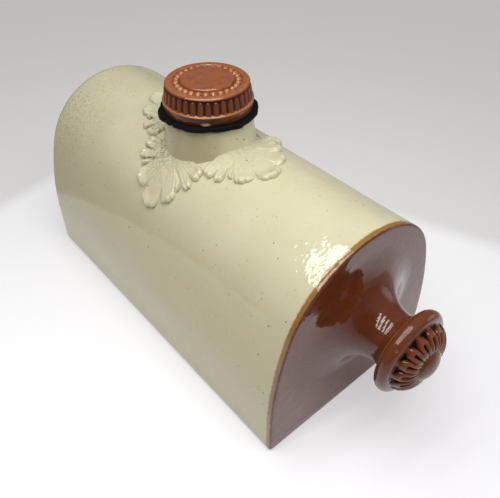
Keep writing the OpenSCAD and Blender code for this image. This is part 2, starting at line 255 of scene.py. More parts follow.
for gap, tint in ((SPECK_GAP, IRON_SPECK), (FINE_GAP, FINE_SPECK)):
    cell = add_node(tree, "ShaderNodeTexVoronoi", {"Vector": place, "Scale": 1 / gap})
    size = add_node(tree, "ShaderNodeMapRange", {
        "Value": cell.outputs["Color"], "From Min": 0.35, "From Max": 1.0, "To Min": 0.0, "To Max": 0.13})
    dots.append(add_node(tree, "ShaderNodeMath", {
        0: size, 1: cell.outputs["Distance"]}, operation="GREATER_THAN"))
    spotted = add_node(tree, "ShaderNodeMix", {
        "Factor": dots[-1], "A": spotted, "B": linear(tint)}, data_type="RGBA")
soot_off = add_node(tree, "ShaderNodeVectorMath", {0: place, 1: SOOT_AT}, operation="DISTANCE")
soot_near = add_node(tree, "ShaderNodeMapRange", {
    "Value": soot_off, "From Min": SOOT_CORE, "From Max": SOOT_REACH, "To Min": 0.6, "To Max": 0.0})
soot_rub = add_node(tree, "ShaderNodeTexNoise", {"Vector": place, "Scale": 1 / SOOT_W, "Detail": 5.0})
soot_patch = add_node(tree, "ShaderNodeMapRange", {
    "Value": soot_rub, "From Min": 0.55, "From Max": 0.68})
soot = add_node(tree, "ShaderNodeMath", {
    0: soot_near, 1: soot_patch}, operation="MULTIPLY")
with_soot = add_node(tree, "ShaderNodeMix", {
    "Factor": soot, "A": spotted, "B": linear(SOOT)}, data_type="RGBA")
# Dirt in the leaves' flutes near the neck, and painted shade in their creases and eye slits.
grime_and_shade = add_node(tree, "ShaderNodeAttribute", {}, attribute_name="grime_and_shade").outputs["Fac"]
crumb = add_node(tree, "ShaderNodeTexNoise", {"Vector": place, "Scale": 1 / CRUMB_W, "Detail": 4.0})
crumbs = add_node(tree, "ShaderNodeMapRange", {
    "Value": crumb, "From Min": 0.45, "From Max": 0.53, "To Min": 0.1, "To Max": 1.0})
caught = add_node(tree, "ShaderNodeMath", {0: grime_and_shade, 1: crumbs}, operation="MULTIPLY")
with_dirt_and_shade = add_node(tree, "ShaderNodeMix", {
    "Factor": caught, "A": with_soot, "B": linear(DIRT_AND_CREASE_SHADE)}, data_type="RGBA")
along = add_node(tree, "ShaderNodeSeparateXYZ", {"Vector": place}).outputs["X"]
ragged = add_node(tree, "ShaderNodeTexNoise", {"Vector": place, "Scale": 1 / TEAR_W, "Detail": 4.0})
ragged_x = add_node(tree, "ShaderNodeMath", {0: ragged, 1: TEAR_L, 2: along}, operation="MULTIPLY_ADD")
dipped = add_node(tree, "ShaderNodeMapRange", {
    "Value": ragged_x, "From Min": EDGE_TAN_FROM, "From Max": EDGE_TAN_TO})
colour = add_node(tree, "ShaderNodeMix", {
    "Factor": dipped, "A": with_dirt_and_shade, "B": linear(EDGE_TAN)}, data_type="RGBA")
gloss = add_node(tree, "ShaderNodeMapRange", {
    "Value": cloud, "From Min": 0.3, "From Max": 0.7, "To Min": 0.04, "To Max": 0.08})
peel = add_node(tree, "ShaderNodeTexNoise", {"Vector": place, "Scale": 1 / PEEL_W, "Detail": 1.0})
pitted = add_node(tree, "ShaderNodeMath", {
    0: dots[0], 1: -0.6, 2: peel}, operation="MULTIPLY_ADD")
peel_bump = add_node(tree, "ShaderNodeBump", {
    "Height": pitted, "Strength": 0.6, "Distance": PEEL_H})
tree.links.new(colour.outputs["Result"], shader.inputs["Base Color"])
tree.links.new(gloss.outputs["Result"], shader.inputs["Roughness"])
tree.links.new(peel_bump.outputs["Normal"], shader.inputs["Normal"])

barrel = start_loop("barrel_tube", section(barrel_lo.x))
barrel_l = barrel_hi.x - barrel_lo.x
barrel_steps = round(barrel_l / BARREL_STEP)
for k in range(1, barrel_steps + 1):
    extrude_loop(barrel, section(barrel_lo.x + barrel_l * (k / barrel_steps)))
water_middle = Vector((0, 0, barrel_hi.z / 2))
close_mesh(barrel, water_middle)
apply_modifier(barrel, "SOLIDIFY", thickness=WALL, offset=-1, use_even_offset=True)

neck_lo, neck_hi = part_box("neck")
neck_x = (neck_lo.x + neck_hi.x) / 2
bpy.ops.object.select_all(action="DESELECT")
bpy.ops.mesh.primitive_cylinder_add(
    vertices=HOLE_COLS, radius=NECK_HOLE_R, depth=barrel_hi.z, location=(neck_x, 0, barrel_hi.z))
drill = bpy.context.object
apply_modifier(barrel, "BOOLEAN", object=drill, operation="DIFFERENCE", solver="EXACT")
bpy.data.objects.remove(drill)
glaze_piece(barrel, cream_glaze, "bottle", "barrel", smooth=35)

# Rear end
# The plain far end: a stoneware slab with a rolled edge, luted into the barrel with slip, then glazed with
# it in one dip.
REAR_ROLL_R = 10 * MM
ROLL_STEPS = 10
REAR_FACE_STEPS = 5
rear_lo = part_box("rear_end")[0]

rear_end = start_loop("rear_end_slab", section(barrel_lo.x))
extrude_loop(rear_end, section(rear_lo.x + REAR_ROLL_R))
for k in range(1, ROLL_STEPS + 1):
    turn = pi / 2 * k / ROLL_STEPS
    inset = REAR_ROLL_R * (1 - cos(turn))
    x = rear_lo.x + REAR_ROLL_R * (1 - sin(turn))
    outline = section(x, inset, inset * BASE_EDGE_R / REAR_ROLL_R)
    extrude_loop(rear_end, outline)
middle = Vector((rear_lo.x, 0, barrel_hi.z / 2))
for k in range(1, REAR_FACE_STEPS):
    extrude_loop(rear_end, [point.lerp(middle, k / REAR_FACE_STEPS) for point in outline])
bpy.ops.mesh.edge_face_add()
close_mesh(rear_end, water_middle)
apply_modifier(rear_end, "SOLIDIFY", thickness=WALL, offset=-1)
glaze_piece(rear_end, cream_glaze, "bottle", "rear_end", smooth=35)

# Front end
# The near end and the stem of the handle, thrown in one: a flat slab that opens into a waisted stem. It was
# dipped by itself in a dark iron glaze, which breaks to tan along the arris, where it runs thin.
PLATE_T = 3.5 * MM
PLATE_EDGE_R = 1.4 * MM
HANDLE_Z = 79.6 * MM
WAIST_R = 17.3 * MM
WAIST_X = 25 * MM
FLARE_R = 22 * MM
FLARE_TURN = radians(58)
COVE_R = 8 * MM
COVE_STEPS = 8
FLARE_STEPS = 18
PLATE_STEPS = 8
knob_lo, knob_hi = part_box("knob")
plate_x = barrel_hi.x + PLATE_T
cove_l = knob_lo.x - plate_x - WAIST_X
flare_x = WAIST_X - FLARE_R * sin(FLARE_TURN)
flare_end_r = WAIST_R + FLARE_R * (1 - cos(FLARE_TURN))
open_r = flare_x / (1 - sin(FLARE_TURN))
stem_foot_r = flare_end_r + open_r * cos(FLARE_TURN)

# Distance from the plate and radius of the stem, from the knob back to the plate.
stem_line = []
for k in range(COVE_STEPS + 1):
    dx = cove_l * (1 - k / COVE_STEPS)
    stem_line.append((WAIST_X + dx, WAIST_R + COVE_R - sqrt(COVE_R**2 - dx**2)))
for k in range(1, FLARE_STEPS + 1):
    turn = FLARE_TURN * k / FLARE_STEPS
    stem_line.append((WAIST_X - FLARE_R * sin(turn), WAIST_R + FLARE_R * (1 - cos(turn))))
for k in range(1, FLARE_STEPS + 1):
    turn = FLARE_TURN + (pi / 2 - FLARE_TURN) * k / FLARE_STEPS
    stem_line.append((open_r * (1 - sin(turn)), stem_foot_r - open_r * cos(turn)))


def plate_outline(dx, inset):
    """Outline of the front slab, dx behind its face, with the same columns as the stem."""
    return section(plate_x - dx, inset, inset)


def stem_ring(dx, r, outline):
    """Ring of the stem, dx before the slab's face, with a point towards each of an outline's."""
    ring = []
    for point in outline:
        turn = atan2(point.z - HANDLE_Z, point.y)
        ring.append(Vector((plate_x + dx, r * cos(turn), HANDLE_Z + r * sin(turn))))
    return ring


face_outline = plate_outline(0, PLATE_EDGE_R)
front_end = start_loop("front_end_stem", stem_ring(stem_line[0][0], stem_line[0][1], face_outline))
for dx, r in stem_line[1:]:
    foot_ring = stem_ring(dx, r, face_outline)
    extrude_loop(front_end, foot_ring)
for k in range(1, PLATE_STEPS + 1):
    extrude_loop(front_end, [a.lerp(b, k / PLATE_STEPS) for a, b in zip(foot_ring, face_outline)])
for k in range(1, CORNER_STEPS + 1):
    turn = pi / 2 * k / CORNER_STEPS
    extrude_loop(front_end, plate_outline(PLATE_EDGE_R * (1 - cos(turn)), PLATE_EDGE_R * (1 - sin(turn))))
extrude_loop(front_end, plate_outline(plate_x - barrel_hi.x, 0))
close_mesh(front_end, water_middle)
apply_modifier(front_end, "SOLIDIFY", thickness=PLATE_T, offset=-1)

# Iron-brown glaze: a dark glassy glaze, nearly a mirror, red where it is thin and tan on edges. Where it
# pools it is near black with less sheen, partly as painted shade.
BROWN = "#70381f"
BROWN_DEEP = "#512313"
BROWN_THIN = "#99562c"
BROWN_EDGE = "#946c3a"
BROWN_CREST = "#7c472c"
BROWN_BALD = "#a87838"
BROWN_POOL_SHADE = "#180a05"
IRON_CLOUD_W = 16 * MM
FLECK_W = 1.6 * MM
ARRIS_TEAR_W = 4 * MM
ARRIS_TEAR_L = 1.2 * MM
ARRIS_FROM = plate_x - 0.5 * MM
ARRIS_TO = plate_x + 0.1 * MM
STREAK_W = 1.4 * MM
STREAK_DRAWN = (1.0, 0.12, 1.0)
RIPPLE_W = 6 * MM
RIPPLE_H = 0.35 * MM
brown_glaze, tree, shader = new_material("iron_brown_glaze")
place = add_node(tree, "ShaderNodeTexCoord", {}).outputs["Object"]
cloud = add_node(tree, "ShaderNodeTexNoise", {"Vector": place, "Scale": 1 / IRON_CLOUD_W, "Detail": 4.0})
tone = add_node(tree, "ShaderNodeMix", {
    "Factor": cloud, "A": linear(BROWN), "B": linear(BROWN_DEEP)}, data_type="RGBA")
fleck = add_node(tree, "ShaderNodeTexNoise", {"Vector": place, "Scale": 1 / FLECK_W, "Detail": 3.0})
run_thin = add_node(tree, "ShaderNodeMapRange", {
    "Value": fleck, "From Min": 0.45, "From Max": 0.85, "To Min": 0.0, "To Max": 0.12})
with_thin = add_node(tree, "ShaderNodeMix", {
    "Factor": run_thin, "A": tone, "B": linear(BROWN_THIN)}, data_type="RGBA")
along = add_node(tree, "ShaderNodeSeparateXYZ", {"Vector": place}).outputs["X"]
ragged = add_node(tree, "ShaderNodeTexNoise", {"Vector": place, "Scale": 1 / ARRIS_TEAR_W, "Detail": 3.0})
ragged_x = add_node(tree, "ShaderNodeMath", {
    0: ragged, 1: ARRIS_TEAR_L, 2: along}, operation="MULTIPLY_ADD")
arris = add_node(tree, "ShaderNodeMapRange", {
    "Value": ragged_x, "From Min": ARRIS_FROM, "From Max": ARRIS_TO,
    "To Min": 1.0, "To Max": 0.0})
with_edge = add_node(tree, "ShaderNodeMix", {
    "Factor": arris, "A": with_thin, "B": linear(BROWN_EDGE)}, data_type="RGBA")
thin_and_glint = add_node(tree, "ShaderNodeAttribute", {}, attribute_name="thin_and_glint").outputs["Fac"]
with_crest = add_node(tree, "ShaderNodeMix", {
    "Factor": thin_and_glint, "A": with_edge, "B": linear(BROWN_CREST)}, data_type="RGBA")
bald = add_node(tree, "ShaderNodeMapRange", {"Value": thin_and_glint, "From Min": 0.85, "From Max": 1.0})
with_bald = add_node(tree, "ShaderNodeMix", {
    "Factor": bald, "A": with_crest, "B": linear(BROWN_BALD)}, data_type="RGBA")
# Where the glaze pools it is mixed near black and its sheen is lowered: pooled glaze, and painted shade.
pool_and_shade = add_node(tree, "ShaderNodeAttribute", {}, attribute_name="pool_and_shade").outputs["Fac"]
colour = add_node(tree, "ShaderNodeMix", {
    "Factor": pool_and_shade, "A": with_bald, "B": linear(BROWN_POOL_SHADE)}, data_type="RGBA")
drawn = add_node(tree, "ShaderNodeMapping", {"Vector": place, "Scale": STREAK_DRAWN}).outputs["Vector"]
streak = add_node(tree, "ShaderNodeTexNoise", {"Vector": drawn, "Scale": 1 / STREAK_W, "Detail": 3.0})
wave = add_node(tree, "ShaderNodeTexNoise", {"Vector": place, "Scale": 1 / RIPPLE_W, "Detail": 2.0})
wave_h = add_node(tree, "ShaderNodeMath", {
    0: streak, 1: 0.15, 2: wave}, operation="MULTIPLY_ADD")
wave_bump = add_node(tree, "ShaderNodeBump", {
    "Height": wave_h, "Strength": 0.5, "Distance": RIPPLE_H})
sheen = add_node(tree, "ShaderNodeMapRange", {"Value": pool_and_shade, "To Min": 0.5, "To Max": 0.05})
tree.links.new(colour.outputs["Result"], shader.inputs["Base Color"])
tree.links.new(wave_bump.outputs["Normal"], shader.inputs["Normal"])
tree.links.new(sheen.outputs["Result"], shader.inputs["Specular IOR Level"])
shader.inputs["Roughness"].default_value = 0.07
shader.inputs["IOR"].default_value = 1.55
glaze_piece(front_end, brown_glaze, "bottle", "front_end", smooth=40)

# Knob
# The grip's end, press-moulded: a round collar, a dome of loop petals and a smooth button. Luted to the stem
# and dipped with it; the same iron glaze pools dark in the hollows, painted near black there as painted
# shade, and breaks lighter on the ropes.
COLLAR_R = 27.8 * MM
COLLAR_EDGE_R = 4.8 * MM
ROSETTE_R = 22.6 * MM
ROSETTE_H = 8.2 * MM
DOME_POWER = 3.2
HUB_ROPE_SHARE = 0.45
PETALS = 16
PETAL_COLS = 24
ROPE_W = 1.55 * MM
ROPE_H = 2.8 * MM
LOOP_W = 2.2 * MM
LEG_SHARE = 0.56
BUTTON_R = 9.7 * MM
BUTTON_H = 3.2 * MM
PETAL_MIDDLE = radians(83)
PIT_AT = Vector((181.3, -19.5, 98.5)) * MM
PIT_R = 1.1 * MM
PIT_D = 0.6 * MM
SEAM_W = 1.1 * MM
HUB_FADE = 2.5 * MM
# How thin the glaze lies on the collar, on its seam, round the pit and on the ropes, from 0 to 1.
COLLAR_THIN = 0.3
SEAM_THIN = 1.0
PIT_THIN = 0.84
ROPE_THIN = 0.8
COLLAR_STEPS = 24
ROSETTE_STEPS = 40
BUTTON_STEPS = 14
knob_face = knob_lo.x + 2 * COLLAR_EDGE_R
ball_r = (BUTTON_R**2 + BUTTON_H**2) / (2 * BUTTON_H)


def start_profile(name, points):
    """Draws a profile as a chain of extruded points, and leaves it in edit mode."""
    bpy.ops.object.select_all(action="DESELECT")
    bpy.ops.mesh.primitive_plane_add(size=MM)
    piece = bpy.context.object
    piece.name = piece.data.name = name
    bpy.ops.object.mode_set(mode="EDIT")
    bpy.ops.mesh.merge(type="CENTER")
    bpy.ops.transform.translate(value=points[0])
    for here, there in zip(points, points[1:]):
        bpy.ops.mesh.extrude_vertices_move(TRANSFORM_OT_translate={"value": there - here})
    return piece


def spin_profile(name, points, steps, centre, axis):
    """A turned piece: its profile spun once round its axis."""
    piece = start_profile(name, points)
    bpy.ops.mesh.select_all(action="SELECT")
    bpy.ops.mesh.spin(steps=steps, angle=2 * pi, center=centre, axis=axis)
    close_mesh(piece, Vector(centre))
    return piece


def rosette_rise(r, turn):
    """Height of the petals over the knob's face, and how near the top of a rope a place is."""
    ground = ROSETTE_H * (1 - (r / ROSETTE_R)**DOME_POWER)
    sector = 2 * pi / PETALS
    off_middle = (turn - PETAL_MIDDLE + sector / 2) % sector - sector / 2
    across = r * off_middle
    leg = min(LOOP_W, LEG_SHARE * r * pi / PETALS)
    loop_end = ROSETTE_R - LOOP_W - ROPE_W
    off = abs(abs(across) - leg) if r < loop_end else abs(hypot(across, r - loop_end) - leg)
    crest = sqrt(max(0, 1 - (off / ROPE_W)**2))
    out_share = min(1, (r - BUTTON_R) / (0.5 * (ROSETTE_R - BUTTON_R)))
    rise_share = HUB_ROPE_SHARE + (1 - HUB_ROPE_SHARE) * out_share
    return ground + ROPE_H * rise_share * crest, crest


knob_line = [Vector((knob_lo.x, 0, HANDLE_Z))]
ring_r = COLLAR_R - COLLAR_EDGE_R
for k in range(COLLAR_STEPS + 1):
    turn = pi * k / COLLAR_STEPS
    r = ring_r + COLLAR_EDGE_R * sin(turn)
    knob_line.append(Vector((knob_lo.x + COLLAR_EDGE_R * (1 - cos(turn)), 0, HANDLE_Z + r)))
for k in range(1, ROSETTE_STEPS + 1):
    r = ROSETTE_R + (BUTTON_R - ROSETTE_R) * k / ROSETTE_STEPS
    knob_line.append(Vector((knob_face, 0, HANDLE_Z + r)))
button_x = knob_hi.x - ball_r
for k in range(BUTTON_STEPS + 1):
    r = BUTTON_R * (1 - k / BUTTON_STEPS)
    knob_line.append(Vector((button_x + sqrt(ball_r**2 - r**2), 0, HANDLE_Z + r)))
knob = spin_profile("knob_rosette", knob_line, PETALS * PETAL_COLS, (knob_lo.x, 0, HANDLE_Z), (1, 0, 0))
thin_and_glint_of = knob.data.attributes.new("thin_and_glint", "FLOAT", "POINT")
pool_and_shade_of = knob.data.attributes.new("pool_and_shade", "FLOAT", "POINT")
for corner, thin_and_glint, pool_and_shade in zip(knob.data.vertices, thin_and_glint_of.data, pool_and_shade_of.data):
    r = hypot(corner.co.y, corner.co.z - HANDLE_Z)
    on_face = abs(corner.co.x - knob_face) < TOUCH
    thin_and_glint.value = COLLAR_THIN
    if corner.co.x < knob_lo.x + SEAM_W and r > ring_r:
        thin_and_glint.value = SEAM_THIN
    pit = exp(-((corner.co - PIT_AT).length / PIT_R)**2)
    corner.co.z -= PIT_D * pit
    corner.co.y += PIT_D * pit
    thin_and_glint.value = max(thin_and_glint.value, min(PIT_THIN, 1.5 * pit))
    if on_face and r <= ROSETTE_R + TOUCH:
        rise, crest = rosette_rise(r, atan2(corner.co.z - HANDLE_Z, corner.co.y))
        corner.co.x += rise
        thin_and_glint.value = ROPE_THIN * crest**3
        # The glaze pools between the ropes, and is painted near black there as painted shade.
        pool_and_shade.value = max(0, 1 - 1.4 * crest) * min(1, (r - BUTTON_R) / HUB_FADE)
glaze_piece(knob, brown_glaze, "bottle", "knob", smooth=180)

# Neck
# The filling neck: a turned ring luted over the hole in the crown, with a coarse thread cut inside it for
# the stopper. It is glazed with the barrel, and painted darker on its side towards the camera as painted
# shade. Its rim carries the rubber ring.
NECK_H = 16.7 * MM
NECK_R = 28.8 * MM
NECK_SPREAD = 1.9 * MM
NECK_SUNK = 14 * MM
BORE_R = 20 * MM
NECK_SPIGOT_R = 25 * MM
RIM_R = 1.6 * MM
PITCH = 8 * MM
GROOVE_D = 1.6 * MM
FOOT_SWELL = 0.9 * MM
FOOT_H = 2.2 * MM
NECK_SHADE_TURN = radians(-58)
NECK_SHADE_SPREAD = radians(37)
NECK_SHADE_MOST = 0.72
NECK_COLS = 192
NECK_ROWS = 40
neck_foot_z = barrel_hi.z - NECK_SUNK


def neck_at(z):
    """Outer radius of the neck, a cone that spreads towards its foot."""
    return NECK_R + NECK_SPREAD / NECK_H * (neck_hi.z - z)


def thread_wave(x, y, z):
    """1 along the middle of the stopper's thread, -1 half a pitch away, along a right-hand helix."""
    turn = atan2(y, x - neck_x)
    return cos(2 * pi * (neck_hi.z - z) / PITCH + turn)


def push_out(corner, r, move):
    """Moves a point of a mesh away from the neck's axis, from which it is r away."""
    corner.co.x += (corner.co.x - neck_x) / r * move
    corner.co.y += corner.co.y / r * move


neck_line = [Vector((neck_x + NECK_SPIGOT_R, 0, z)) for z in (neck_lo.z, neck_foot_z)]
for k in range(NECK_ROWS + 1):
    z = neck_foot_z + (neck_hi.z - RIM_R - neck_foot_z) * k / NECK_ROWS
    neck_line.append(Vector((neck_x + neck_at(z), 0, z)))
for k in range(1, CORNER_STEPS + 1):
    turn = pi / 2 * k / CORNER_STEPS
    r = NECK_R - RIM_R * (1 - cos(turn))
    neck_line.append(Vector((neck_x + r, 0, neck_hi.z - RIM_R * (1 - sin(turn)))))
for k in range(1, CORNER_STEPS + 1):
    turn = pi / 2 * k / CORNER_STEPS
    r = BORE_R + RIM_R * (1 - sin(turn))
    neck_line.append(Vector((neck_x + r, 0, neck_hi.z - RIM_R * (1 - cos(turn)))))
for k in range(1, NECK_ROWS + 1):
    z = neck_hi.z - RIM_R + (neck_lo.z - neck_hi.z + RIM_R) * k / NECK_ROWS
    neck_line.append(Vector((neck_x + BORE_R, 0, z)))
neck_line.append(neck_line[0])
neck = spin_profile("neck_ring", neck_line, NECK_COLS, (neck_x, 0, neck_hi.z), (0, 0, 1))
neck_shade_of = neck.data.attributes.new("neck_shade", "FLOAT", "POINT")
for corner, neck_shade in zip(neck.data.vertices, neck_shade_of.data):
    r = hypot(corner.co.x - neck_x, corner.co.y)
    turn = atan2(corner.co.y, corner.co.x - neck_x)
    # Painted shade on the side towards the camera, under the rubber ring's overhang.
    neck_shade.value = NECK_SHADE_MOST * exp(-((turn - NECK_SHADE_TURN) / NECK_SHADE_SPREAD)**4)
    if r < BORE_R + TOUCH:
        wave = thread_wave(*corner.co)
        fade = min(1, max(0, (neck_hi.z - RIM_R - corner.co.z) / PITCH * 2))
        cut = GROOVE_D * fade * max(0, (wave + 0.25) / 1.25)**0.8
        push_out(corner, r, cut)
    elif r > NECK_R - RIM_R:
        over = corner.co.z - crown_z - sqrt(crown_r**2 - corner.co.y**2)
        swell = FOOT_SWELL * max(0, 1 - abs(over) / FOOT_H)**2
        push_out(corner, r, swell)
glaze_piece(neck, cream_glaze, "bottle", "neck", smooth=50)

# Leaves
# Four acanthus sprigs, pressed in a mould and luted on round the neck's foot, each wrapped over the curved
# crown. A low fluted fan swells into round lobes at its edge; glaze softens them, and dirt stays in their
# flutes near the neck. Their creases and eye slits are painted darker, as painted shade.
LEAF_COLS = 280
LEAF_ROWS = 72
LEAF_FOOT_R = 29.5 * MM
LEAF_SUNK = 1.1 * MM
LEAF_SLAB = 1.0 * MM
# A leaf's lobes spread from a point this far from the neck's axis, just inside its foot.
FAN_R = 28 * MM
# Lobes of half a leaf, from its middle line outwards: the angle of a lobe's far edge, the reach of the notch
# there, the reach of the lobe, how far it leans outwards, and the fingers that its end is cut into.
LOBES = [
    (14.5, 33.5, 41.5, 1.0, 3),
    (42, 29.5, 35.5, 1.5, 3),
    (51.5, 25.5, 29, 1.2, 1),
    (69, 26, 32, 1.2, 2),
    (93, 23.5, 30.5, 1.0, 2),
]
FINGER_CUT = 1.1 * MM
FINGER_D = 0.8 * MM
# The eye is the deep slit between the middle lobes and the side lobes.
EYE_ROOT = (11, 38)
EYE_TIP = (27, 51.5)
EYE_W = 1.2 * MM
EYE_D = 2.6 * MM
PANEL_H = 1.3 * MM
LOBE_H = 2.6 * MM
CREASE_D = 1.0 * MM
SWELL_L = 9.5 * MM
LEAF_EDGE_W = 3.6 * MM
FLUTE_H = 0.09 * MM
FLUTES = 46
FLUTE_MIDDLE = 17 * MM
FLUTE_L = 12 * MM
DIRT_AND_SHADE_TURN = radians(224)
DIRT_L = 20 * MM
DIRT_AND_SHADE_LEAST = 0.15


def polar(reach, angle):
    """A place on half a leaf, from its reach in millimetres and its angle in degrees."""
    return Vector((reach * MM * cos(radians(angle)), reach * MM * sin(radians(angle))))


def along_slit(place, tip, root, half):
    """Share of a slit's length at which a place lies, and its distance from the slit in half widths."""
    line = tip - root
    share = max(0, min(1, (place - root).dot(line) / line.length_squared))
    return share, (place - root - line * share).length / (half * (0.5 + 0.5 * share))


def lobe_edge(angle):
    """Reach of a leaf at an angle from its middle line, the place across its lobe, and across its finger."""
    near_angle, near_reach = -LOBES[0][0], LOBES[0][1]
    for far_angle, far_reach, tip_reach, lean, fingers in LOBES:
        if angle <= far_angle:
            break
        near_angle, near_reach = far_angle, far_reach
    share = (angle - near_angle) / (far_angle - near_angle)
    across = 2 * share**lean - 1
    chord = near_reach + (far_reach - near_reach) * share
    swell = (tip_reach - (near_reach + far_reach) / 2) * sqrt(max(0, 1 - across**2))
    finger = 2 * (share**lean * fingers % 1) - 1
    return (chord + swell) * MM - FINGER_CUT * finger**4, across, finger


def leaf_places():
    """A leaf's places: out from the neck's axis, across, rise over the skin, and dirt and painted shade."""
    columns = []
    for column in range(LEAF_COLS + 1):
        angle = LOBES[-1][0] * (2 * column / LEAF_COLS - 1)
        reach, across, finger = lobe_edge(min(abs(angle), LOBES[-1][0]))
        turn = radians(angle)
        foot = sqrt(LEAF_FOOT_R**2 - (FAN_R * sin(turn))**2) - FAN_R * cos(turn)
        columns.append((turn, foot, reach, across, finger))
    places = []
    for row in range(LEAF_ROWS + 1):
        for turn, foot, reach, across, finger in columns:
            d = foot + (reach - foot) * row / LEAF_ROWS
            swell = max(0, 1 - (reach - d) / SWELL_L)
            swell = swell**2 * (3 - 2 * swell)
            crown = 1 - abs(across)**3
            rise = PANEL_H + swell * (LOBE_H * crown - CREASE_D * (1 - crown) - FINGER_D * finger**2)
            rise += FLUTE_H * cos(FLUTES * turn) * max(0, 1 - abs(d - FLUTE_MIDDLE) / FLUTE_L)
            place = Vector((d * cos(turn), d * abs(sin(turn))))
            share, off = along_slit(place, polar(*EYE_TIP), polar(*EYE_ROOT), EYE_W)
            slit = share * exp(-off**2)
            edge = max(0, min(1, (reach - d) / LEAF_EDGE_W))
            rise = (rise - EYE_D * slit) * sqrt(1 - (1 - edge)**2)
            groove = 0.6 - 0.4 * cos(FLUTES * turn)
            # Dirt lies in the flutes near the neck; the eye slit and the creases between lobes get painted
            # shade.
            dirt_and_shade = min(1, slit + groove * max(0, 1.5 - d / DIRT_L) + 0.6 * swell * (1 - crown))
            rise = rise if row < LEAF_ROWS else -LEAF_SUNK
            places.append((FAN_R + d * cos(turn), d * sin(turn), rise, dirt_and_shade))
    return places


def make_leaf(name, heading, skew, node, places):
    """One sprig of the mould's form, turned to its heading, its outer end laid a little askew."""
    bpy.ops.object.select_all(action="DESELECT")
    bpy.ops.mesh.primitive_grid_add(x_subdivisions=LEAF_COLS, y_subdivisions=LEAF_ROWS)
    leaf = bpy.context.object
    leaf.name = leaf.data.name = name
    dirt_and_shade_of = leaf.data.attributes.new("grime_and_shade", "FLOAT", "POINT")
    for corner, dirt_and_shade, (out, across, rise, grime_and_shade) in zip(leaf.data.vertices, dirt_and_shade_of.data, places):
        across += skew * (out - FAN_R)
        x = out * cos(heading) - across * sin(heading)
        s = out * sin(heading) + across * cos(heading)
        corner.co = on_skin(neck_x + x, s, rise)
        # The dirt and the painted shade are weighted towards one side of the neck.
        dirt_and_shade.value = grime_and_shade * (DIRT_AND_SHADE_LEAST + (1 - DIRT_AND_SHADE_LEAST) * max(0, cos(atan2(s, x) - DIRT_AND_SHADE_TURN))**4)
    bpy.ops.object.mode_set(mode="EDIT")
    close_mesh(leaf, water_middle)
    apply_modifier(leaf, "SOLIDIFY", thickness=LEAF_SLAB, offset=-1)
    glaze_piece(leaf, cream_glaze, "bottle", node, smooth=180)


leaf_form = leaf_places()
make_leaf("acanthus_front", 0, -0.08, "leaf_front", leaf_form)
make_leaf("acanthus_left", pi / 2, 0.03, "leaf_left", leaf_form)
make_leaf("acanthus_rear", pi, -0.03, "leaf_rear", leaf_form)
make_leaf("acanthus_right", -pi / 2, 0.06, "leaf_right", leaf_form)

# Seal ring
# A washer cut by hand from black rubber sheet, so its edge is a row of short straight cuts. It is squeezed
# between the rim of the neck and the stopper's underside, and rides up with the stopper.
SEAL_COLS = 216
SEAL_EDGE_STEPS = 8
SEAL_CUTS = 13
SEAL_BORE_R = 21.8 * MM
SEAL_ROUND = 1.0 * MM
SEAL_EDGE_W = 3 * MM
SEAL_BROAD_H = 0.8 * MM
SEAL_SHORT_H = 0.5 * MM
# Nicks in the ring's edge: the direction and the half width of each, in radians, and its depth.
NICKS = ((-1.48, 0.035, 2.0 * MM), (0.9, 0.02, 1.2 * MM))
seal_lo, seal_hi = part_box("seal_ring")
seal_r = seal_hi.x - neck_x
seal_t = seal_hi.z - seal_lo.z

seal_line = [Vector((neck_x + SEAL_BORE_R, 0, seal_lo.z))]
for k in range(SEAL_EDGE_STEPS + 1):
    turn = pi * k / SEAL_EDGE_STEPS
    r = seal_r - SEAL_ROUND + SEAL_ROUND * sin(turn)**0.6
    seal_line.append(Vector((neck_x + r, 0, seal_lo.z + seal_t / 2 * (1 - cos(turn)))))
seal_line.append(Vector((neck_x + SEAL_BORE_R, 0, seal_hi.z)))
seal_line.append(seal_line[0])
seal = spin_profile("rubber_washer", seal_line, SEAL_COLS, (neck_x, 0, seal_lo.z), (0, 0, 1))
cut_turn = 2 * pi / SEAL_CUTS
for corner in seal.data.vertices:
    r = hypot(corner.co.x - neck_x, corner.co.y)
    turn = atan2(corner.co.y, corner.co.x - neck_x)
    if r > seal_r - SEAL_EDGE_W:
        wobble = turn + 0.07 * sin(5 * turn + 1) + 0.05 * sin(11 * turn)
        off = (wobble + cut_turn / 2) % cut_turn - cut_turn / 2
        move = SEAL_BROAD_H * sin(3 * turn + 0.8) + SEAL_SHORT_H * sin(7 * turn + 2.1)
        move -= seal_r * (1 - cos(off))
        for nick_turn, nick_half, nick_d in NICKS:
            move -= nick_d * exp(-((turn - nick_turn) / nick_half)**2)
        push_out(corner, r, move)

# Black rubber: matt and slightly blue-grey, with chalky bloom and the sheet's grain, drawn
# coarser than it is so that it shows.
RUBBER = "#050608"
RUBBER_BLOOM = "#101218"
BLOOM_W = 4 * MM
GRAIN_W = 0.8 * MM
GRAIN_H = 0.1 * MM
rubber, tree, shader = new_material("black_sheet_rubber")
place = add_node(tree, "ShaderNodeTexCoord", {}).outputs["Object"]
bloom = add_node(tree, "ShaderNodeTexNoise", {"Vector": place, "Scale": 1 / BLOOM_W, "Detail": 5.0})
colour = add_node(tree, "ShaderNodeMix", {
    "Factor": bloom, "A": linear(RUBBER), "B": linear(RUBBER_BLOOM)}, data_type="RGBA")
grain = add_node(tree, "ShaderNodeTexNoise", {"Vector": place, "Scale": 1 / GRAIN_W, "Detail": 2.0})
grain_bump = add_node(tree, "ShaderNodeBump", {
    "Height": grain, "Strength": 0.4, "Distance": GRAIN_H})
tree.links.new(colour.outputs["Result"], shader.inputs["Base Color"])
tree.links.new(grain_bump.outputs["Normal"], shader.inputs["Normal"])
shader.inputs["Roughness"].default_value = 0.6
shader.inputs["Specular IOR Level"].default_value = 0.12
glaze_piece(seal, rubber, "seal", "seal_ring", smooth=30)

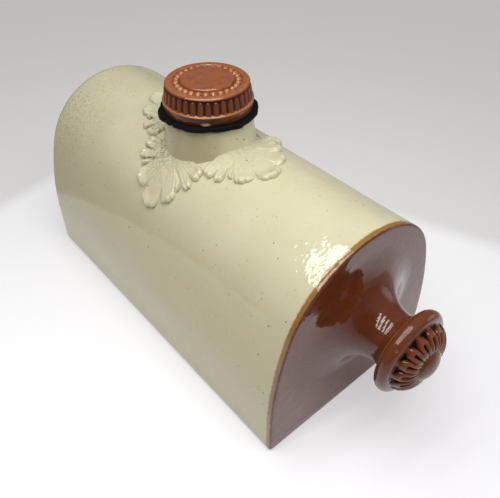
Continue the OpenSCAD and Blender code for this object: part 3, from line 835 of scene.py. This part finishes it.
# Stopper
# The screw stopper, press-moulded in one: a ribbed head with a ledge, a ring of beads and a raised disc,
# and a plug with a coarse thread. Its tan glaze runs thin on the crests. Painted shade darkens it between
# the ribs, in the thread, round the beads, low on the shoulder and on the side towards the camera, and a
# painted highlight lightens the top of the shoulder.
STOPPER_COLS = 540
RIBS = 36
RIB_PHASE = radians(3.3)
BEADS = 27
BEAD_R = 2.0 * MM
BEAD_H = 1.45 * MM
BEAD_RING_R = 20 * MM
HEAD_R = 29.2 * MM
LEDGE_R = 29.8 * MM
LEDGE_H = 6.2 * MM
HEAD_H = 17.3 * MM
SHOULDER_R = 2.2 * MM
SHOULDER_SIDE_R = 27.7 * MM
RIB_DEEP = 1.0 * MM
RIB_HALF_W = 1.8 * MM
RIB_ARCH_GAP = 1.1 * MM
RIB_FOOT_GAP = 0.3 * MM
RIB_TOP_GAP = 1.3 * MM
RIB_FADE = 0.5 * MM
HEAD_EDGE_R = 0.6 * MM
LEDGE_EDGE_R = 0.7 * MM
LEDGE_SIDE_GAP = 0.9 * MM
LEDGE_EDGE_GAP = 0.6 * MM
LEDGE_SKIRT_GAP = 0.5 * MM
LEDGE_STEP_W = 0.8 * MM
LEDGE_STEP_H = 0.5 * MM
LEDGE_LINE_W = 0.35 * MM
CHANNEL_SLOPE = 0.4 * MM
DISC_SLOPE = 0.2 * MM
NEAR_EDGE = 0.1 * MM
CHANNEL_W = 2.4 * MM
CHANNEL_D = 0.7 * MM
PLUG_R = 18.8 * MM
THREAD_H = 1.9 * MM
PLUG_CHAMFER = 2 * MM
CHIP_TURN = radians(-41)
CHIP_Z = 163.2 * MM
CHIP_W = 5.4 * MM
CHIP_H = 2.1 * MM
CHIP_BAND = 1 * MM
stopper_lo, stopper_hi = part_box("stopper")
head_z = seal_hi.z
rib_lo_z = head_z + LEDGE_H + RIB_FOOT_GAP
rib_hi_z = head_z + HEAD_H - RIB_TOP_GAP
disc_r = BEAD_RING_R - CHANNEL_W
channel_r = disc_r + 2 * CHANNEL_W
disc_rise = stopper_hi.z - head_z - HEAD_H


def line_steps(start, end, count):
    """Points from just after start up to end."""
    return [start.lerp(end, k / count) for k in range(1, count + 1)]


def arc_steps(centre, r, first, last, count):
    """Points on an arc, in degrees from the outward direction."""
    turns = [radians(first + (last - first) * k / count) for k in range(count + 1)]
    return [centre + Vector((r * cos(turn), 0, r * sin(turn))) for turn in turns]


def at(r, h):
    """A place of the profile, from its radius and its height over the head's underside."""
    return Vector((neck_x + r, 0, head_z + h))


plug_l = head_z - stopper_lo.z
# The profile runs from the middle of the plug's end up its side, out under the head, over it and back in.
stopper_line = [at(0, -plug_l)] + line_steps(at(0, -plug_l), at(PLUG_R - PLUG_CHAMFER, -plug_l), 4)
stopper_line += line_steps(stopper_line[-1], at(PLUG_R, PLUG_CHAMFER - plug_l), 2)
stopper_line += line_steps(stopper_line[-1], at(PLUG_R, 0), 28)
stopper_line += line_steps(stopper_line[-1], at(HEAD_R - HEAD_EDGE_R, 0), 3)
stopper_line += arc_steps(at(HEAD_R - HEAD_EDGE_R, HEAD_EDGE_R), HEAD_EDGE_R, -90, 0, 3)[1:]
stopper_line += line_steps(stopper_line[-1], at(LEDGE_R, LEDGE_H - LEDGE_SIDE_GAP), 5)
stopper_line += arc_steps(at(LEDGE_R - LEDGE_EDGE_R, LEDGE_H - LEDGE_EDGE_GAP), LEDGE_EDGE_R, 10, 90, 6)
stopper_line += line_steps(stopper_line[-1], at(LEDGE_R - LEDGE_STEP_W, LEDGE_H + LEDGE_STEP_H), 2)
stopper_line += line_steps(stopper_line[-1], at(SHOULDER_SIDE_R, HEAD_H - SHOULDER_R), 18)
stopper_line += arc_steps(at(SHOULDER_SIDE_R - SHOULDER_R, HEAD_H - SHOULDER_R), SHOULDER_R, 0, 90, 9)[1:]
stopper_line += line_steps(stopper_line[-1], at(channel_r + CHANNEL_SLOPE, HEAD_H), 3)
stopper_line += line_steps(stopper_line[-1], at(channel_r - CHANNEL_SLOPE, HEAD_H - CHANNEL_D), 3)
stopper_line += line_steps(stopper_line[-1], at(disc_r + DISC_SLOPE, HEAD_H - CHANNEL_D), 16)
stopper_line += line_steps(stopper_line[-1], at(disc_r, HEAD_H), 3)
stopper_line += arc_steps(at(disc_r - disc_rise, HEAD_H), disc_rise, 0, 90, 6)[1:]
stopper_line += line_steps(stopper_line[-1], at(0, HEAD_H + disc_rise), 8)
stopper = spin_profile("screw_stopper", stopper_line, STOPPER_COLS, (neck_x, 0, head_z), (0, 0, 1))

thin_and_glint_of = stopper.data.attributes.new("thin_and_glint", "FLOAT", "POINT")
pool_and_shade_of = stopper.data.attributes.new("pool_and_shade", "FLOAT", "POINT")
bare_of = stopper.data.attributes.new("bare", "FLOAT", "POINT")
for corner, thin_and_glint, pool_and_shade, bare in zip(stopper.data.vertices, thin_and_glint_of.data, pool_and_shade_of.data, bare_of.data):
    out = Vector((corner.co.x - neck_x, corner.co.y, 0))
    r = out.length
    turn = atan2(out.y, out.x)
    z = corner.co.z
    if r > HEAD_R - CHIP_BAND:
        bare.value = max(0, 1 - hypot((turn - CHIP_TURN) * r / CHIP_W, (z - CHIP_Z) / CHIP_H))
    if z < head_z - TOUCH and abs(r - PLUG_R) < TOUCH:
        fade = min(1, max(0, (head_z - z) / (0.4 * PITCH)))
        fade *= min(1, max(0, (z - stopper_lo.z) / (0.5 * PITCH)))
        wave = max(0, thread_wave(*corner.co))
        corner.co += out / r * THREAD_H * wave**1.5 * fade
        # Painted shade in the thread's groove.
        pool_and_shade.value = 0.5 * (1 - wave)
    elif rib_lo_z < z < rib_hi_z and r > BEAD_RING_R:
        across = abs((turn - RIB_PHASE + pi / RIBS) % (2 * pi / RIBS) - pi / RIBS) * r / RIB_HALF_W
        down = max(0, z - rib_hi_z + RIB_HALF_W + RIB_ARCH_GAP) / RIB_HALF_W
        off = hypot(across, down)
        proud = sqrt(max(0, 1 - off**2))
        edge = min(1, (z - rib_lo_z) / RIB_FADE, (rib_hi_z - z) / RIB_FADE)
        corner.co -= out / r * RIB_DEEP * (1 - proud) * edge
        # Painted shade between the ribs, darkest on the side towards the camera.
        front_shade = max(0, cos(turn - CHIP_TURN))**2
        pool_and_shade.value = (0.45 + 0.15 * front_shade + 0.4 * max(0, 1 - 1.4 * proud)) * edge
    elif z > head_z + HEAD_H - CHANNEL_D - TOUCH and abs(r - BEAD_RING_R) < CHANNEL_W:
        off = (turn + pi / BEADS) % (2 * pi / BEADS) - pi / BEADS
        rise = sqrt(max(0, 1 - (hypot(r - BEAD_RING_R, r * off) / BEAD_R)**2))
        corner.co.z += BEAD_H * rise
        thin_and_glint.value = rise
        # Painted shade in the channel round the beads.
        pool_and_shade.value = 0.35 * (1 - min(1, 2 * rise))
    elif abs(z - head_z - LEDGE_H) < LEDGE_LINE_W:
        thin_and_glint.value = 0.6
    elif r > SHOULDER_SIDE_R - SHOULDER_R and z > rib_hi_z - NEAR_EDGE:
        top = (z - rib_hi_z) / (head_z + HEAD_H - rib_hi_z)
        # A painted highlight along the top of the shoulder, and painted shade lower down on it.
        thin_and_glint.value = 0.6 * max(0, top)**4
        pool_and_shade.value = 0.6 * max(0, 1 - 1.2 * top)
    elif z < head_z + LEDGE_H - LEDGE_SKIRT_GAP:
        # Painted shade on the band under the ledge, darkest on the side towards the camera.
        pool_and_shade.value = 0.2 + 0.7 * max(0, cos(turn - CHIP_TURN))**2
    elif z > head_z + HEAD_H - NEAR_EDGE and r > channel_r:
        thin_and_glint.value = 0.2

# Tan stopper glaze: a thinner, glossy iron glaze, orange-brown, pale on crests and on a painted highlight,
# and dark red-brown with less sheen where it pools and where painted shade is laid.
TAN = "#91502a"
TAN_DARK = "#6a3217"
TAN_POOL_SHADE = "#3c180b"
TAN_CREST = "#b9783f"
BARE_CLAY = "#b3a07a"
PATCH_W = 3 * MM
MOTTLE_W = 6 * MM
PATCH_H = 0.12 * MM
tan_glaze, tree, shader = new_material("tan_iron_glaze")
place = add_node(tree, "ShaderNodeTexCoord", {}).outputs["Object"]
thin_and_glint = add_node(tree, "ShaderNodeAttribute", {}, attribute_name="thin_and_glint").outputs["Fac"]
pool_and_shade = add_node(tree, "ShaderNodeAttribute", {}, attribute_name="pool_and_shade").outputs["Fac"]
cloud = add_node(tree, "ShaderNodeTexNoise", {"Vector": place, "Scale": 1 / PATCH_W, "Detail": 5.0})
patchy = add_node(tree, "ShaderNodeMapRange", {
    "Value": cloud, "From Min": 0.3, "From Max": 0.7, "To Min": 0.5, "To Max": 1.0})
thin_patch = add_node(tree, "ShaderNodeMath", {0: thin_and_glint, 1: patchy}, operation="MULTIPLY")
mottle = add_node(tree, "ShaderNodeTexNoise", {"Vector": place, "Scale": 1 / MOTTLE_W, "Detail": 4.0})
dark_patch = add_node(tree, "ShaderNodeMapRange", {
    "Value": mottle, "From Min": 0.45, "From Max": 0.75, "To Min": 0.0, "To Max": 0.6})
ground = add_node(tree, "ShaderNodeMix", {
    "Factor": dark_patch, "A": linear(TAN), "B": linear(TAN_DARK)}, data_type="RGBA")
# Painted shade where the attribute is high: in recesses and on the side towards the camera.
with_pool_and_shade = add_node(tree, "ShaderNodeMix", {
    "Factor": pool_and_shade, "A": ground, "B": linear(TAN_POOL_SHADE)}, data_type="RGBA")
with_crest = add_node(tree, "ShaderNodeMix", {
    "Factor": thin_patch, "A": with_pool_and_shade, "B": linear(TAN_CREST)}, data_type="RGBA")
bare = add_node(tree, "ShaderNodeAttribute", {}, attribute_name="bare").outputs["Fac"]
ragged_bare = add_node(tree, "ShaderNodeMath", {0: bare, 1: patchy}, operation="MULTIPLY")
chipped = add_node(tree, "ShaderNodeMapRange", {
    "Value": ragged_bare, "From Min": 0.25, "From Max": 0.5})
colour = add_node(tree, "ShaderNodeMix", {
    "Factor": chipped, "A": with_crest, "B": linear(BARE_CLAY)}, data_type="RGBA")
sheen = add_node(tree, "ShaderNodeMapRange", {"Value": pool_and_shade, "To Min": 0.9, "To Max": 0.1})
patch_bump = add_node(tree, "ShaderNodeBump", {
    "Height": cloud, "Strength": 0.25, "Distance": PATCH_H})
tree.links.new(colour.outputs["Result"], shader.inputs["Base Color"])
tree.links.new(patch_bump.outputs["Normal"], shader.inputs["Normal"])
tree.links.new(sheen.outputs["Result"], shader.inputs["Specular IOR Level"])
shader.inputs["Roughness"].default_value = 0.09
glaze_piece(stopper, tan_glaze, "stopper", "stopper", smooth=180)

# Studio
# A plain pale table under a dim sky that is brighter on one side, with a row of strip lamps overhead. The
# table looks brighter, to the camera and in the glaze, than the light that falls on it makes it. The camera
# stands where the photograph was taken.
FLOOR_SIZE = 6.0
FLOOR_PALE = "#e0dfe1"
FLOOR_FAR = "#cdcbca"
FLOOR_GLOW = 0.46
# The table turns greyer past two lines: the direction in which each lies, and its distance from the middle.
FAR_LINES = (((-0.972, -0.234, 0), 0.222), ((-0.349, 0.937, 0), 0.142))
FAR_BLEND = 0.028
CAMERA_SIDE = (1, -0.8, 0)
MIRRORED_NEAR = 0.6
MIRRORED_FAR = 0.15
MIRRORED_FRONT = 0.08
MIRRORED_FOOT_SHADOW = 0.35
HANDLE_FOOT = (0.145, 0.02, 0)
WALL_TOWARDS = (0.42, 0.905, 0.05)
WALL_GLOW = 0.9
SKY_SEEN = 0.62
SKY_LOW = 0.1
SKY_RISE = 0.2
SKY_FILL = 0.81
FILL_FROM = (0.78, 0.6, 0.18)
DARK_TOWARDS = (0.55, -0.66, 0.51)
STRIP_POWER = 0.41
STRIP_SIZE = (0.033, 0.45)
STRIPS = 5
STRIP_STEP = 0.09
STRIP_HEIGHT = 0.5
STRIP_MIDDLE = (0.115, -0.15)
STRIP_TURN = radians(-9)
CAMERA_PLACE = Vector((268.4, -194.77, 334.94)) * MM
CAMERA_AZIMUTH = radians(49.604)
CAMERA_ELEVATION = radians(42.206)
CAMERA_ROLL = radians(-0.276)
FOCAL_PIXELS = 553.6
IMAGE_WIDTH = 500

bpy.ops.object.select_all(action="DESELECT")
bpy.ops.mesh.primitive_plane_add(size=FLOOR_SIZE)
floor = bpy.context.object
floor.name = "table"
table_paint, tree, shader = new_material("white_table_paint")
place = add_node(tree, "ShaderNodeTexCoord", {}).outputs["Object"]
past = []
for facing, off in FAR_LINES:
    beyond = add_node(tree, "ShaderNodeVectorMath", {0: place, 1: facing}, operation="DOT_PRODUCT")
    past.append(add_node(tree, "ShaderNodeMapRange", {
        "Value": beyond, "From Min": off, "From Max": off + FAR_BLEND}, interpolation_type="SMOOTHSTEP"))
far = add_node(tree, "ShaderNodeMath", {0: past[0], 1: past[1]}, operation="MAXIMUM")
colour = add_node(tree, "ShaderNodeMix", {
    "Factor": far, "A": linear(FLOOR_PALE), "B": linear(FLOOR_FAR)}, data_type="RGBA")
seen = add_node(tree, "ShaderNodeLightPath", {})
mirrored_far = add_node(tree, "ShaderNodeMapRange", {
    "Value": far, "To Min": MIRRORED_NEAR, "To Max": MIRRORED_FAR})
towards_camera = add_node(tree, "ShaderNodeVectorMath", {0: place, 1: CAMERA_SIDE}, operation="DOT_PRODUCT")
mirrored_near = add_node(tree, "ShaderNodeMapRange", {
    "Value": towards_camera, "From Min": 0.2, "From Max": 0.45, "To Min": 1.0, "To Max": MIRRORED_FRONT})
# A painted shadow round the handle's foot, in the table's glow as the glaze mirrors it.
from_foot = add_node(tree, "ShaderNodeVectorMath", {0: place, 1: HANDLE_FOOT}, operation="DISTANCE")
mirrored_foot_shadow = add_node(tree, "ShaderNodeMapRange", {
    "Value": from_foot, "From Min": 0.01, "From Max": 0.06, "To Min": MIRRORED_FOOT_SHADOW, "To Max": 1.0})
mirrored = seen.outputs["Is Glossy Ray"]
for part in (mirrored_far, mirrored_near, mirrored_foot_shadow):
    mirrored = add_node(tree, "ShaderNodeMath", {
        0: mirrored, 1: part}, operation="MULTIPLY")
glow = add_node(tree, "ShaderNodeMath", {
    0: seen.outputs["Is Camera Ray"], 1: FLOOR_GLOW, 2: mirrored}, operation="MULTIPLY_ADD")
tree.links.new(colour.outputs["Result"], shader.inputs["Base Color"])
tree.links.new(colour.outputs["Result"], shader.inputs["Emission Color"])
tree.links.new(glow.outputs["Value"], shader.inputs["Emission Strength"])
shader.inputs["Roughness"].default_value = 0.6
shader.inputs["Specular IOR Level"].default_value = 0.2
floor.data.materials.append(table_paint)

world = bpy.data.worlds.new("studio_sky")
world.use_nodes = True
tree = world.node_tree
towards = add_node(tree, "ShaderNodeTexCoord", {}).outputs["Generated"]
height = add_node(tree, "ShaderNodeSeparateXYZ", {"Vector": towards}).outputs["Z"]
dome = add_node(tree, "ShaderNodeMapRange", {
    "Value": height, "To Min": SKY_LOW, "To Max": SKY_LOW + SKY_RISE})
facing = add_node(tree, "ShaderNodeVectorMath", {0: towards, 1: DARK_TOWARDS}, operation="DOT_PRODUCT")
shade = add_node(tree, "ShaderNodeMapRange", {
    "Value": facing, "From Min": 0.72, "From Max": 0.9, "To Min": 1.0, "To Max": 0.1})
facing_fill = add_node(tree, "ShaderNodeVectorMath", {0: towards, 1: FILL_FROM}, operation="DOT_PRODUCT")
fill = add_node(tree, "ShaderNodeMapRange", {
    "Value": facing_fill, "From Min": 0.3, "From Max": 1.0, "To Min": 0.0, "To Max": SKY_FILL})
# In reflections the bright side of the sky gives way to a narrow bright patch, a painted reflection.
facing_wall = add_node(tree, "ShaderNodeVectorMath", {0: towards, 1: WALL_TOWARDS}, operation="DOT_PRODUCT")
wall_reflection = add_node(tree, "ShaderNodeMapRange", {
    "Value": facing_wall, "From Min": 0.93, "From Max": 0.985, "To Min": 0.0, "To Max": WALL_GLOW})
seen = add_node(tree, "ShaderNodeLightPath", {})
aside = add_node(tree, "ShaderNodeMix", {
    "Factor": seen.outputs["Is Glossy Ray"], "A": fill, "B": wall_reflection})
sky = add_node(tree, "ShaderNodeMath", {
    0: dome, 1: shade, 2: aside}, operation="MULTIPLY_ADD")
sky_seen = add_node(tree, "ShaderNodeMix", {
    "Factor": seen.outputs["Is Camera Ray"], "A": sky, "B": SKY_SEEN})
tree.links.new(sky_seen.outputs["Result"], tree.nodes["Background"].inputs["Strength"])
tree.nodes["Background"].inputs["Color"].default_value = (1, 1, 1, 1)
bpy.context.scene.world = world

for k in range(STRIPS):
    lamp = bpy.data.lights.new("strip_lamp", "AREA")
    lamp.shape = "RECTANGLE"
    lamp.size, lamp.size_y = STRIP_SIZE
    lamp.energy = STRIP_POWER
    strip = bpy.data.objects.new("strip_lamp", lamp)
    strip.location = (
        STRIP_MIDDLE[0] + STRIP_STEP * (k - (STRIPS - 1) / 2), STRIP_MIDDLE[1], STRIP_HEIGHT)
    strip.rotation_euler.z = STRIP_TURN
    bpy.context.collection.objects.link(strip)

back = Vector((
    sin(CAMERA_AZIMUTH) * cos(CAMERA_ELEVATION), -cos(CAMERA_AZIMUTH) * cos(CAMERA_ELEVATION),
    sin(CAMERA_ELEVATION)))
right = Vector((cos(CAMERA_AZIMUTH), sin(CAMERA_AZIMUTH), 0))
up = back.cross(right)
right, up = (
    right * cos(CAMERA_ROLL) + up * sin(CAMERA_ROLL), up * cos(CAMERA_ROLL) - right * sin(CAMERA_ROLL))
lens = bpy.data.cameras.new("camera")
lens.lens = FOCAL_PIXELS * lens.sensor_width / IMAGE_WIDTH
camera = bpy.data.objects.new("camera", lens)
camera.matrix_world = Matrix.Translation(CAMERA_PLACE) @ Matrix((right, up, back)).transposed().to_4x4()
bpy.context.collection.objects.link(camera)
bpy.context.scene.camera = camera
bpy.context.scene.view_settings.view_transform = "Standard"
